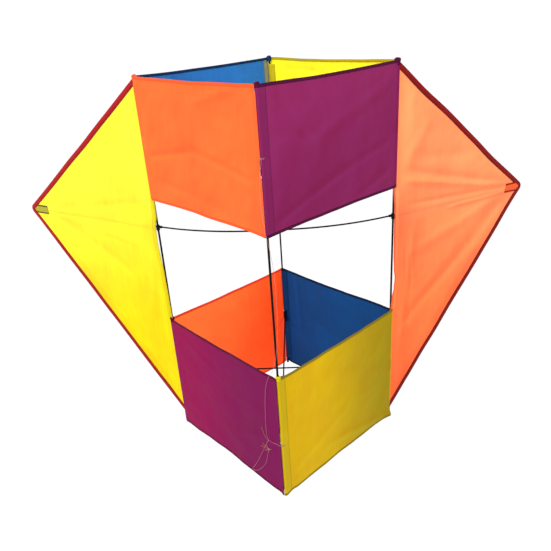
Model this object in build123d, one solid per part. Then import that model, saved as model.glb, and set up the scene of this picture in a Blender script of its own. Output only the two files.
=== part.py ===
from build123d import *
import math
import os

# A winged box kite, standing on the ends of its four longerons.
# Millimetres, +Z up along the longerons, -Y towards the bridle, +X towards the right wing.
# The origin is on the ground at the middle of the square cells.

# Frame
HALF_DIAGONAL = 300.0  # from the kite's middle to each longeron
KITE_HEIGHT = 1000.0  # over the end caps
LONGERON_RADIUS = 2.5
SPREADER_RADIUS = 2.0
SIDE_LENGTH = HALF_DIAGONAL * math.sqrt(2)

# End caps
CAP_RADIUS = 3.6
CAP_LENGTH = 14.0
CAP_END = 2.0  # solid rubber under the rod's end
CAP_CLEARANCE = 2.0  # from a cap to the sleeve beside it

# Cells: lowest and highest edge of each cloth box
LOWER_CELL = (3.0, 358.0)
UPPER_CELL = (700.0, 997.0)
CLOTH = 0.6  # thickness of one panel
HEM_THICKNESS = 1.2
HEM_WIDTH = 10.0
CLOTH_OFFSET = 3.4  # a panel's inner face lies this far outside the line between two longerons
CORNER_GAP = 5.0  # between a longeron's axis and a panel that it doesn't carry
SLEEVE_INNER = 2.8
SLEEVE_OUTER = 3.6

# Spreader fittings
FITTING_RADIUS = 4.6
FITTING_HEIGHT = 28.0
SOCKET_RADIUS = 2.9
SOCKET_REACH = 20.0
SOCKET_FLOOR = 3.5  # from the longeron's axis to the bottom of the socket
ROD_START = 4.0  # from the longeron's axis to a spreader's end
SLIP = 0.05  # clearance of a rod in a socket or on a longeron
WIDTH_HEIGHTS = {"lower": 180.0, "upper": 848.0}
DEPTH_HEIGHTS = {"lower": 186.0, "upper": 842.0}
CUTOUT = 34.0  # of a sleeve, above and below the middle of a fitting, both together

# Wings
SWEEP = 28.0  # degrees that the wings lean back
WING_REACH = 452.0  # from the side longeron to the point where the wing's two edges would meet
WING_TOP = 982.0
WING_BOTTOM = 45.0
WING_ROD_HEIGHT = 626.0
TIP_ROUND = 14.0
BINDING_WIDTH = 10.0
BINDING_THICKNESS = 1.6
SEAM_GAP = 0.2
EDGE_CLEARANCE = 6.0  # between the longeron's axis and the cloth beside the open gap
EDGE_SAG = 13.0  # how far the free inner edge bows away from the longeron

# Wing spreader
ROD_BEHIND = 5.3  # from the wing's plane back to the spreader's axis
STRAIGHT_MIDDLE = 35.0
TIP_ROD_REACH = 432.0
FERRULE_LENGTH = 60.0
FERRULE_RADIUS = 3.1
CLIP_RADIUS = 3.4
CLIP_LENGTH = 16.0
CLIP_HEIGHT = 14.0
CLIP_BORE = 2.15

# Tip pockets
POCKET_START = 410.0
POCKET_LENGTH = 32.0
POCKET_HEIGHT = 17.0
POCKET_FRONT = 1.1
POCKET_BACK = 9.5
POCKET_BORE = 2.3
POCKET_DEPTH = 26.0

# Bridle
LINE_RADIUS = 0.6
TIE_HEIGHTS = {"lower": 163.0, "upper": 862.0}
TIE_RING_RADIUS = 3.5
TIE_LINE_RADIUS = 0.65
TIE_KNOT_RADIUS = 2.0
TIE_KNOT_OUT = 5.6
TIE_TURN = -15.0  # degrees that the knot stands round from the front, clear of the folding side
JUNCTION_KNOT_RADIUS = 1.9
TOW_KNOT_RADIUS = 2.6
SHORTEST_SHARE = 0.45  # of the shorter run that each bend of the line may use

BRIDLE_ROUTE = [
    (-1.0, -307.0, 860.0),
    (-5.0, -306.5, 838.0),
    (-9.0, -304.5, 800.0),
    (-8.5, -304.5, 758.0),
    (-4.5, -307.0, 716.0),
    (3.0, -308.5, 678.0),
    (8.0, -308.0, 634.0),
    (9.5, -307.5, 584.0),
    (9.2, -307.2, 532.0),
    (7.0, -307.4, 480.0),
    (2.0, -308.0, 430.0),
    (-7.0, -306.5, 386.0),
    (-19.5, -296.0, 344.0),
    (-30.0, -284.0, 302.0),
    (-38.5, -274.0, 258.0),
    (-45.0, -266.5, 218.0),
    (-47.5, -264.0, 188.0),
    (-44.0, -267.0, 167.0),
    (-35.0, -276.5, 158.5),
    (-25.0, -286.5, 159.0),
    (-14.5, -297.5, 163.5),
    (-5.5, -306.5, 165.0),
    (-1.0, -307.5, 162.5),
]
JUNCTION = (-35.5, -276.5, 157.0)
TOW_KNOT = (-35.5, -276.5, 129.0)
TOW_ROUTE = [
    (-36.0, -276.0, 156.0),
    (-41.5, -270.5, 143.0),
    (-49.5, -262.0, 119.0),
    (-60.0, -251.5, 88.0),
    (-71.5, -239.5, 56.0),
    (-82.0, -229.0, 31.0),
    (-89.5, -221.5, 18.0),
    (-86.5, -224.5, 13.5),
    (-76.0, -235.5, 22.0),
    (-61.5, -250.0, 43.0),
    (-50.0, -261.5, 66.0),
    (-44.0, -268.0, 88.0),
    (-40.5, -271.5, 109.0),
    (-36.0, -276.0, 127.0),
]

# Longeron axes, seen from above, and the way from each to the kite's middle in degrees
CORNERS = {
    "left": (-HALF_DIAGONAL, 0.0, 0.0),
    "front": (0.0, -HALF_DIAGONAL, 90.0),
    "right": (HALF_DIAGONAL, 0.0, 180.0),
    "back": (0.0, HALF_DIAGONAL, -90.0),
}
# Each side of a cell: the longeron it starts at, its heading in degrees, and where its sleeve is
SIDES = {
    "front_left": ("left", -45.0, None),
    "front_right": ("front", 45.0, 0.0),
    "back_right": ("right", 135.0, SIDE_LENGTH),
    "back_left": ("back", 225.0, None),
}
CELLS = {"lower": LOWER_CELL, "upper": UPPER_CELL}


def at_longeron(name, turn=None):
    """Stand a shape made round the Z axis on a longeron, its +X turned to the kite's middle."""
    x, y, inward = CORNERS[name]
    return Location((x, y, 0), (0, 0, inward if turn is None else turn))


def block(low, high):
    """A box between two corners."""
    size = [b - a for a, b in zip(low, high)]
    middle = [(a + b) / 2 for a, b in zip(low, high)]
    return Pos(*middle) * Box(*size)


def tube(outer, inner, low, high):
    """A round tube along Z; an inner radius of nought makes a rod."""
    shape = Cylinder(outer, high - low)
    if inner:
        shape -= Cylinder(inner, high - low)
    return Pos(0, 0, (low + high) / 2) * shape


def round_bar(radius, start, end):
    """A straight round bar along X."""
    return Pos((start + end) / 2, 0, 0) * Rot(0, 90, 0) * Cylinder(radius, end - start)


def longeron():
    return tube(LONGERON_RADIUS, 0, CAP_END, KITE_HEIGHT - CAP_END)


def end_caps():
    """A cup at the foot and one at the head of a longeron."""
    foot = tube(CAP_RADIUS, 0, 0, CAP_LENGTH) - tube(LONGERON_RADIUS, 0, CAP_END, CAP_LENGTH)
    rim = foot.edges().filter_by(GeomType.CIRCLE).group_by(Axis.Z)[0]
    foot = fillet(rim, CAP_END / 2)
    return [foot, Pos(0, 0, KITE_HEIGHT) * Rot(180, 0, 0) * foot]


def bare_zones(heights):
    """Heights where a longeron is bare inside a cell: at its ends and at its fittings."""
    half = CUTOUT / 2
    ends = CAP_LENGTH + CAP_CLEARANCE
    zones = [(0.0, ends), (KITE_HEIGHT - ends, KITE_HEIGHT)]
    for level, height in heights.items():
        low, high = height - half, height + half
        if level in TIE_HEIGHTS and heights is DEPTH_HEIGHTS:
            low = min(low, TIE_HEIGHTS[level] - CORNER_GAP)
            high = max(high, TIE_HEIGHTS[level] + CORNER_GAP)
        zones.append((low, high))
    return zones


def sleeve(low, high, heights):
    """The cloth tube round a longeron over one cell, open at its bare zones."""
    shape = tube(SLEEVE_OUTER, SLEEVE_INNER, low, high)
    for start, end in bare_zones(heights):
        shape -= tube(SLEEVE_OUTER + 1, 0, start, end)
    return shape


def cell_panel(cell, sleeve_at):
    """One cloth side of a cell along +X, its outer face towards -Y, hemmed above and below."""
    low, high = cell
    start = 0.0 if sleeve_at == 0.0 else CORNER_GAP
    end = SIDE_LENGTH - (0.0 if sleeve_at == SIDE_LENGTH else CORNER_GAP)
    face, outer, hem = -CLOTH_OFFSET, -CLOTH_OFFSET - CLOTH, -CLOTH_OFFSET - HEM_THICKNESS
    shape = block((start, outer, low), (end, face, high))
    shape += block((start, hem, low), (end, face, low + HEM_WIDTH))
    shape += block((start, hem, high - HEM_WIDTH), (end, face, high))
    if sleeve_at is None:
        return shape
    shape += Pos(sleeve_at, 0, 0) * sleeve(low, high, DEPTH_HEIGHTS)
    for zone_low, zone_high in bare_zones(DEPTH_HEIGHTS):
        keep_out = block(
            (sleeve_at - CORNER_GAP, -2 * CORNER_GAP, zone_low),
            (sleeve_at + CORNER_GAP, CORNER_GAP, zone_high),
        )
        shape -= keep_out
    return shape


def tee_fitting(height):
    """A soft tube on a longeron with a side socket for a spreader, pointing along +X."""
    half = FITTING_HEIGHT / 2
    shape = tube(FITTING_RADIUS, 0, height - half, height + half)
    shape += Pos(0, 0, height) * round_bar(SOCKET_RADIUS, 0, SOCKET_REACH)
    shape -= tube(LONGERON_RADIUS + SLIP, 0, height - half, height + half)
    shape -= Pos(0, 0, height) * round_bar(SPREADER_RADIUS + SLIP, SOCKET_FLOOR, SOCKET_REACH)
    return shape


def cell_spreader(height):
    """A straight rod between two opposite longerons, along X."""
    reach = HALF_DIAGONAL - ROD_START
    return Pos(0, 0, height) * round_bar(SPREADER_RADIUS, -reach, reach)


def wing_spreader():
    """The left half of the bowed wing rod, from the kite's middle to the left tip pocket."""
    lean = math.radians(SWEEP)
    bend = (HALF_DIAGONAL - STRAIGHT_MIDDLE) / math.sin(lean)
    rise = bend * (1 - math.cos(lean))
    level = ROD_BEHIND / math.cos(lean)
    middle = level - rise
    knee = (-HALF_DIAGONAL, level)
    tip = (knee[0] - TIP_ROD_REACH * math.cos(lean), knee[1] + TIP_ROD_REACH * math.sin(lean))
    inner = (-SEAM_GAP, middle)
    path = Line(inner, (-STRAIGHT_MIDDLE, middle))
    path += CenterArc((-STRAIGHT_MIDDLE, middle + bend), bend, -90, -SWEEP)
    path += Line(knee, tip)
    section = Plane(origin=(*inner, 0), z_dir=(-1, 0, 0)) * Circle(SPREADER_RADIUS)
    rod = Pos(0, 0, WING_ROD_HEIGHT) * sweep(section, path=path)
    ferrule = round_bar(FERRULE_RADIUS, -FERRULE_LENGTH / 2, FERRULE_LENGTH / 2)
    ferrule -= round_bar(SPREADER_RADIUS + SLIP, -FERRULE_LENGTH / 2, FERRULE_LENGTH / 2)
    return rod, Pos(0, middle, WING_ROD_HEIGHT) * ferrule


def wing_fitting():
    """The cross connector that holds the wing rod behind the left longeron, in the wing's frame."""
    half = CLIP_HEIGHT / 2
    rod_side = Pos(0, -ROD_BEHIND, WING_ROD_HEIGHT)
    shape = tube(FITTING_RADIUS, 0, WING_ROD_HEIGHT - half, WING_ROD_HEIGHT + half)
    shape += rod_side * round_bar(CLIP_RADIUS, -CLIP_LENGTH / 2, CLIP_LENGTH / 2)
    shape -= tube(LONGERON_RADIUS + SLIP, 0, WING_ROD_HEIGHT - half, WING_ROD_HEIGHT + half)
    shape -= rod_side * round_bar(CLIP_BORE, -CLIP_LENGTH / 2, CLIP_LENGTH / 2)
    return shape


def wing_outline(inset):
    """The wing's triangle in the XZ plane, its tip rounded, moved in from its two free edges."""
    corners = [(0, WING_BOTTOM), (WING_REACH, WING_ROD_HEIGHT), (0, WING_TOP)]
    outline = make_face(Polyline(*corners, close=True))
    outline = fillet(outline.vertices().sort_by(Axis.X)[-1], TIP_ROUND)
    if inset:
        smaller = offset(outline, amount=-inset, kind=Kind.INTERSECTION)
        outline = smaller + Pos(-inset, 0, 0) * smaller + Pos(-2 * inset, 0, 0) * smaller
    return outline


def slab(outline, thickness):
    """A flat outline in the XZ plane, thickened evenly to both sides."""
    return extrude(Plane.XZ * outline, amount=thickness / 2, both=True)


def wing_cloth():
    """The left wing in its own frame: +X outboard along the cloth, -Y to the back."""
    gap_low, gap_high = LOWER_CELL[1], UPPER_CELL[0]
    shape = slab(wing_outline(BINDING_WIDTH + SEAM_GAP), CLOTH)
    inboard = (-4 * BINDING_WIDTH, -CORNER_GAP, 0)
    beside_sleeve = (SLEEVE_OUTER - SEAM_GAP, CORNER_GAP, KITE_HEIGHT)
    shape -= block(inboard, beside_sleeve)
    edge_low, edge_high = (EDGE_CLEARANCE, gap_low), (EDGE_CLEARANCE, gap_high)
    bite = ThreePointArc(edge_low, (EDGE_SAG, (gap_low + gap_high) / 2), edge_high)
    bite += Polyline(edge_high, (0, gap_high), (0, gap_low), edge_low)
    shape -= slab(make_face(bite), 2 * CORNER_GAP)
    for zone_low, zone_high in bare_zones(WIDTH_HEIGHTS):
        shape -= block((0, -CORNER_GAP, zone_low), (CORNER_GAP + SEAM_GAP, CORNER_GAP, zone_high))
    for cell_low, cell_high in CELLS.values():
        shape += sleeve(cell_low, cell_high, WIDTH_HEIGHTS)
    return shape


def wing_binding():
    """The tape folded round the wing's two free edges."""
    shape = slab(wing_outline(0), BINDING_THICKNESS)
    shape -= slab(wing_outline(BINDING_WIDTH), 2 * BINDING_THICKNESS)
    return shape - block((-CORNER_GAP, -CORNER_GAP, 0), (CORNER_GAP, CORNER_GAP, KITE_HEIGHT))


def tip_pocket():
    """The blind pocket on the back of the wing that takes the spreader's tip."""
    half = POCKET_HEIGHT / 2
    shape = block(
        (POCKET_START, -POCKET_BACK, WING_ROD_HEIGHT - half),
        (POCKET_START + POCKET_LENGTH, -POCKET_FRONT, WING_ROD_HEIGHT + half),
    )
    bore = round_bar(POCKET_BORE, POCKET_START, POCKET_START + POCKET_DEPTH)
    return shape - Pos(0, -ROD_BEHIND, WING_ROD_HEIGHT) * bore


def bend_radii(route):
    """The largest bend at each inner point of a route that its two runs leave room for."""
    points = [Vector(*p) for p in route]
    radii = []
    for before, here, after in zip(points, points[1:], points[2:]):
        turn = math.radians((here - before).get_angle(after - here))
        shorter = min((here - before).length, (after - here).length)
        radii.append(SHORTEST_SHARE * shorter / math.tan(turn / 2))
    return radii


def line_along(name, route):
    """A thin line of straight runs and tangent bends, with its tightest bend and volume printed."""
    radii = bend_radii(route)
    path = FilletPolyline(*route, radius=radii)
    start = Vector(*route[0])
    section = Plane(origin=start, z_dir=Vector(*route[1]) - start) * Circle(LINE_RADIUS)
    shape = sweep(section, path=path)
    expected = path.length * math.pi * LINE_RADIUS**2
    print(name, "length", round(path.length, 1), "radii", [round(r, 1) for r in radii])
    print(name, "volume", round(shape.volume, 1), "expected", round(expected, 1))
    return shape


def bridle_tie(height):
    """A loop of the line round the bare front longeron, with its knot in front."""
    ring = Torus(TIE_RING_RADIUS, TIE_LINE_RADIUS)
    knot = Pos(0, -TIE_KNOT_OUT, 0) * Sphere(TIE_KNOT_RADIUS)
    return Pos(0, -HALF_DIAGONAL, height) * Rot(0, 0, TIE_TURN) * (ring + knot)


def mirrored(shape):
    """The same piece on the kite's right side."""
    return mirror(shape, about=Plane.YZ)


def solids_of(shape):
    """Every solid of a shape or of a list of shapes, apart from each other."""
    shapes = shape if isinstance(shape, (list, tuple)) else [shape]
    return [solid for one in shapes for solid in one.solids()]


def frame_pieces():
    """Longerons, end caps, tee fittings and the straight cell spreaders."""
    pieces = {}
    for name in CORNERS:
        here = at_longeron(name)
        pieces[f"{name}_longeron"] = here * longeron()
        pieces[f"{name}_end_caps"] = [here * cap for cap in end_caps()]
        heights = WIDTH_HEIGHTS if name in ("left", "right") else DEPTH_HEIGHTS
        for level, height in heights.items():
            pieces[f"{level}_{name}_fitting"] = here * tee_fitting(height)
    for level in CELLS:
        pieces[f"{level}_width_spreader"] = cell_spreader(WIDTH_HEIGHTS[level])
        pieces[f"{level}_depth_spreader"] = Rot(0, 0, 90) * cell_spreader(DEPTH_HEIGHTS[level])
    return pieces


def cell_pieces():
    """The eight cloth panels of the two cells."""
    pieces = {}
    for level, cell in CELLS.items():
        for side, (start, heading, sleeve_at) in SIDES.items():
            panel = at_longeron(start, heading) * cell_panel(cell, sleeve_at)
            pieces[f"{level}_{side}_panel"] = panel
    return pieces


def wing_pieces():
    """Both wings, made on the left and mirrored, and the two-part rod that spreads them."""
    outboard = at_longeron("left", 180.0 - SWEEP)
    rod, ferrule = wing_spreader()
    left = {
        "wing_cloth": outboard * wing_cloth(),
        "wing_binding": outboard * wing_binding(),
        "tip_pocket": outboard * tip_pocket(),
        "wing_fitting": outboard * wing_fitting(),
        "wing_spreader": rod,
    }
    pieces = {"centre_ferrule": ferrule}
    for name, shape in left.items():
        pieces[f"left_{name}"] = shape
        pieces[f"right_{name}"] = mirrored(shape)
    return pieces


def bridle_pieces():
    """The bridle line, its two ties on the front longeron, and the tow loop."""
    pieces = {f"{level}_bridle_tie": bridle_tie(z) for level, z in TIE_HEIGHTS.items()}
    pieces["bridle_line"] = line_along("bridle_line", BRIDLE_ROUTE)
    pieces["tow_loop"] = line_along("tow_loop", TOW_ROUTE)
    pieces["bridle_knot"] = Pos(*JUNCTION) * Sphere(JUNCTION_KNOT_RADIUS)
    pieces["tow_knot"] = Pos(*TOW_KNOT) * Sphere(TOW_KNOT_RADIUS)
    return pieces


def main():
    os.makedirs("parts", exist_ok=True)
    pieces = {**frame_pieces(), **cell_pieces(), **wing_pieces(), **bridle_pieces()}
    for name, shape in pieces.items():
        solids = solids_of(shape)
        whole = solids[0] if len(solids) == 1 else Compound(solids)
        export_step(whole, f"parts/{name}.step")
    print(len(pieces), "nodes")


main()
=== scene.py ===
import math
from itertools import product

import bpy
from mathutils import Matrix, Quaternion, Vector, noise


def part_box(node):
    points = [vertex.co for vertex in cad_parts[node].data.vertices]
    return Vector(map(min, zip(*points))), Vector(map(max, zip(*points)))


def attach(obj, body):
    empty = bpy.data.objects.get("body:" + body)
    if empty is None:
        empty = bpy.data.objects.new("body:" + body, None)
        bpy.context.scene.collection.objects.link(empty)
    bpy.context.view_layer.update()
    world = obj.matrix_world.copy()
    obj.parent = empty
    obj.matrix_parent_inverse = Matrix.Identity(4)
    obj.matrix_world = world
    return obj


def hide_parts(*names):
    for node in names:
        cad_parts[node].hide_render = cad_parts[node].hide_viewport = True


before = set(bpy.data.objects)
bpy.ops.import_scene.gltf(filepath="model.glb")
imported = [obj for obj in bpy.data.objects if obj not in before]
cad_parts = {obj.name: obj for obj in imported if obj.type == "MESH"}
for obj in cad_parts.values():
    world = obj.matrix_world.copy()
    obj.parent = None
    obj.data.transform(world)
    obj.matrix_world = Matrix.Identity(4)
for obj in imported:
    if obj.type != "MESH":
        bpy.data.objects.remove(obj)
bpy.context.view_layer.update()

# Lengths are metres, in the frame's own axes; what is in millimetres is multiplied by MM
MM = 0.001

# Camera, stage and light
CAMERA_PLACE = (0.0712, -1.3697, 1.117)
CAMERA_AIM = (-0.0062, 0.0, 0.4747)
CAMERA_ROLL = -3.88
LENS = 37.2
WORLD_STRENGTH = 1.06
FLOOR_STRENGTH = 1.02
FLOOR_REACH = 40.0
LIGHTS = [  # name, place, aim, size and power
    ("front", (-2.4, -2.2, 2.4), (0, 0, 0.5), 0.8, 80),
    ("behind", (-1.4, 3.0, 2.4), (0, 0, 0.5), 1.2, 150),
    ("inside", (2.4, -2.4, 3.4), (0, 0.1, 0.3), 1.0, 45),
]

# Line: the routes' points are in millimetres
LINE_RADIUS = 0.34 * MM
TIE_ANGLE = math.radians(-110)
TIE_RADIUS = 5.3 * MM
TIE_WIDTH = 2.6 * MM
BRIDLE_ROUTE = [
    (-1, -307, 860), (-5, -306.5, 838), (-9, -304.5, 800), (-8.5, -304.5, 758), (-4.5, -307, 716),
    (3, -308.5, 678), (8, -308, 634), (9.5, -307.5, 584), (9.2, -307.2, 532), (7, -307.4, 480),
    (2, -308, 430), (-7, -306.5, 386), (-20, -293.5, 361), (-29.5, -283.5, 330), (-34, -279, 298),
    (-37, -275.8, 256), (-38.5, -274.2, 214), (-39.5, -273, 186), (-38.5, -274, 168),
    (-34, -278, 158.8), (-25, -286.5, 159), (-14.5, -297.5, 163.5), (-5.5, -306.5, 165),
    (-1, -307.5, 162.5),
]
TOW_ROUTE = [
    (-36, -276, 156), (-41.5, -270.5, 143), (-49.5, -262, 119), (-60, -251.5, 88),
    (-71.5, -239.5, 56), (-82, -229, 31), (-89.5, -221.5, 18), (-86.5, -224.5, 13.5),
    (-76, -235.5, 22), (-61.5, -250, 43), (-50, -261.5, 66), (-44, -268, 88),
    (-40.5, -271.5, 109), (-36, -276, 127),
]
LOOSE_END = [
    (-35, -277.5, 157.5), (-41, -271.2, 160), (-45.5, -266.7, 167), (-48, -264, 177),
    (-51.5, -260.5, 186),
]
# Where the tow loop's end is frayed: how far each thread reaches from the knot, across and up
FRAYED = [(-32.0, -6.0), (-19.0, -13.0), (-24.0, 5.0), (8.0, 7.0), (-9.0, 11.0)]

# Cloth
PLAIN = 0.45 * MM
DOUBLED = 1.0 * MM
HEM = 7 * MM
STRIP = 18 * MM  # width of the sewn sleeve strips at the front and back corners
OFFSET = 3.95 * MM  # a panel's middle lies this far outside the line between two longerons
BULGE = 1.65 * MM  # further out over a fitting or an end cap
SLEEVE_RADIUS = 3.3 * MM
FITTING_SWELL = 1.7 * MM  # how much wider a sleeve is over a fitting or an end cap
GRID = 5 * MM
HEM_GRID = 4 * MM
BESIDE = 0.3 * MM  # how close the points on both sides of a hem's or strip's line are to it
TAPE_GRID = 6 * MM
WEAVE = 0.7 * MM
STITCH = 3.2 * MM
END_ZONE = 16 * MM  # where a longeron's end cap is
LAP = 0.95 * MM  # how much further out the left-hand panels end, over the sleeves at the corners
BACK_GAP = 2.4 * MM  # the back panels stop this far short of the side longerons' sleeves
SWEEP = math.radians(28)
WING_SEAM = {"left": 7.6 * MM, "right": 7.2 * MM}
BINDING = 13 * MM
TAPE_THICKNESS = 0.5 * MM
TAPE_WAVE = {"left": 1.2 * MM, "right": 3.0 * MM}  # how far the bound edges wander
TIP_ROUND = 14 * MM
POCKET_LENGTH = {"left": 66 * MM, "right": 53 * MM}
POCKET_HEIGHT = 25 * MM
POCKET_THICKNESS = 1.4 * PLAIN
POCKET_DEPTH = 9.4 * MM  # how far its pouch reaches behind the wing
POCKET_INSET = 8.7 * MM  # how far its outer end is from where the wing's edges meet


def middle_of(node):
    low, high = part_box(node)
    return (low + high) / 2


LONGERONS = {name: middle_of(f"{name}_longeron").xy for name in ("left", "front", "right", "back")}
HALF_DIAGONAL = LONGERONS["right"].x
SIDE_LENGTH = (LONGERONS["front"] - LONGERONS["left"]).length
KITE_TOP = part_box("front_end_caps")[1].z
LEVELS = ("lower", "upper")
FITTINGS = {name: [middle_of(f"{level}_{name}_fitting").z for level in LEVELS] for name in LONGERONS}
FITTING_HALF = (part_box("lower_left_fitting")[1].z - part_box("lower_left_fitting")[0].z) / 2
CELLS = {level: [end.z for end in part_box(f"{level}_front_left_panel")] for level in LEVELS}
GAP_LOW, GAP_HIGH = CELLS["lower"][1], CELLS["upper"][0]
WING_ROD_Z = middle_of("left_wing_fitting").z
# Each wing's straight edges: how far out they meet, and where they reach the longeron's line
WING_REACH = {"left": 490 * MM, "right": 444 * MM}
WING_LOW = {"left": 30 * MM, "right": 18 * MM}
WING_HIGH = 996 * MM

# Each side of a cell: the longerons it starts and ends at
SIDES = {
    "front_left": ("left", "front"),
    "front_right": ("front", "right"),
    "back_right": ("right", "back"),
    "back_left": ("back", "left"),
}


class Panel:
    """One side of a cell: its heights, its longerons and its ways along and outward."""

    def __init__(self, name):
        level, side = name.split("_", 1)
        self.name, self.side = name, side
        self.low, self.high = CELLS[level]
        self.start, self.end = SIDES[side]
        self.along = (LONGERONS[self.end] - LONGERONS[self.start]).normalized()
        self.outward = Vector((self.along.y, -self.along.x))
        self.corner = "front" if "front" in name else "back"
        self.inward = self.along if self.corner == self.start else -self.along
        self.strips = STRIPS.get(name, [])
        self.seed = list(PANEL_CREASES).index(name) + 1

    def share(self, z):
        return (z - self.low) / (self.high - self.low)

    def beyond(self, corner, u):
        """How far u is from the corner of one of the panel's two longerons."""
        return u if corner == self.start else SIDE_LENGTH - u


# --- Camera, floor and light ---


def add_object(name, data):
    item = bpy.data.objects.new(name, data)
    bpy.context.scene.collection.objects.link(item)
    return item


def set_camera():
    data = bpy.data.cameras.new("view")
    data.lens = LENS
    camera = add_object("view", data)
    camera.location = CAMERA_PLACE
    camera.rotation_mode = "QUATERNION"
    aim = (Vector(CAMERA_AIM) - Vector(CAMERA_PLACE)).to_track_quat("-Z", "Y")
    camera.rotation_quaternion = aim @ Quaternion((0, 0, 1), math.radians(CAMERA_ROLL))
    bpy.context.scene.camera = camera


def area_light(name, place, aim, size, power):
    """A round soft light."""
    data = bpy.data.lights.new(name, "AREA")
    data.shape = "DISK"
    data.size = size
    data.energy = power
    lamp = add_object(name, data)
    lamp.location = place
    lamp.rotation_mode = "QUATERNION"
    lamp.rotation_quaternion = (Vector(aim) - Vector(place)).to_track_quat("-Z", "Y")


def set_stage():
    """Three lights in a white room, over a floor that shines as white as the room."""
    scene = bpy.context.scene
    scene.view_settings.view_transform = "Standard"
    world = bpy.data.worlds.new("studio")
    world.use_nodes = True
    background = world.node_tree.nodes["Background"]
    background.inputs["Color"].default_value = (1.0, 1.0, 1.0, 1.0)
    background.inputs["Strength"].default_value = WORLD_STRENGTH
    scene.world = world
    mesh = bpy.data.meshes.new("floor")
    signs = ((-1, -1), (1, -1), (1, 1), (-1, 1))
    mesh.from_pydata([(x * FLOOR_REACH, y * FLOOR_REACH, 0) for x, y in signs], [], [(0, 1, 2, 3)])
    n = Nodes("floor_pale")
    shine = n.add("ShaderNodeEmission", Strength=FLOOR_STRENGTH, Color=(1, 1, 1, 1))
    n.material.cycles.emission_sampling = "NONE"
    mesh.materials.append(n.finish(shine))
    add_object("floor", mesh)
    for light in LIGHTS:
        area_light(*light)


# --- Materials ---


class Nodes:
    """A material's node tree, with short ways to add the nodes used here."""

    def __init__(self, name):
        self.material = bpy.data.materials.new(name)
        self.material.use_nodes = True
        self.tree = self.material.node_tree
        self.tree.nodes.clear()
        self.out = self.add("ShaderNodeOutputMaterial")

    def add(self, kind, **values):
        """A new node; a value is for one of its inputs, named with _ for a space, or its settings."""
        node = self.tree.nodes.new(kind)
        for key, value in values.items():
            socket = key.replace("_", " ")
            if socket in node.inputs:
                self.feed(node.inputs[socket], value)
            else:
                setattr(node, key, value)
        return node

    def finish(self, shader):
        self.feed(self.out.inputs[0], shader.outputs[0])
        return self.material

    def uv(self, layer):
        return self.add("ShaderNodeUVMap", uv_map=layer).outputs[0]

    def split(self, vector):
        return self.add("ShaderNodeSeparateXYZ", Vector=vector).outputs

    def feed(self, socket, value):
        if isinstance(value, bpy.types.NodeSocket):
            self.tree.links.new(value, socket)
        else:
            socket.default_value = value

    def maths(self, operation, a, b=0.0):
        node = self.add("ShaderNodeMath", operation=operation)
        self.feed(node.inputs[0], a)
        self.feed(node.inputs[1], b)
        return node.outputs[0]

    def ramp(self, value, low, high, to_low=0.0, to_high=1.0):
        node = self.add("ShaderNodeMapRange", interpolation_type="SMOOTHSTEP", Value=value,
                        From_Min=low, From_Max=high, To_Min=to_low, To_Max=to_high)
        return node.outputs[0]

    def noise(self, where, scale, detail=3.0, rough=0.5, stretch=(1, 1, 1)):
        mapping = self.add("ShaderNodeMapping", Vector=where, Scale=stretch)
        node = self.add("ShaderNodeTexNoise", Vector=mapping.outputs[0], Scale=scale,
                        Detail=detail, Roughness=rough)
        return node.outputs["Fac"]

    def mix(self, share, first, second, blend="MIX"):
        node = self.add("ShaderNodeMix", data_type="RGBA", blend_type=blend)
        self.feed(node.inputs[0], share)
        self.feed(node.inputs[6], first)
        self.feed(node.inputs[7], second)
        return node.outputs[2]

    def bump(self, height, strength, distance, normal=None):
        node = self.add("ShaderNodeBump", Strength=strength, Distance=distance, Height=height)
        if normal is not None:
            self.feed(node.inputs["Normal"], normal)
        return node.outputs[0]

    def wave(self, value, pitch):
        return self.maths("SINE", self.maths("MULTIPLY", value, 2 * math.pi / pitch))

    def stitches(self, across, along, middle):
        """A row of stitches that runs along the cloth, with its middle that far across."""
        off = self.maths("ABSOLUTE", self.maths("SUBTRACT", across, middle))
        row = self.ramp(off, 0.25 * MM, 0.6 * MM, 1.0, 0.0)
        return self.maths("MULTIPLY", row, self.ramp(self.wave(along, STITCH), -0.6, -0.2))


def rgb(red, green, blue):
    """A colour as a screen shows it, in the linear values that nodes take."""
    parts = [c / 255 for c in (red, green, blue)]
    linear = [c / 12.92 if c < 0.04045 else ((c + 0.055) / 1.055) ** 2.4 for c in parts]
    return (*linear, 1.0)


def darker(colour, share):
    return (*(c * share for c in colour[:3]), 1.0)


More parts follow.
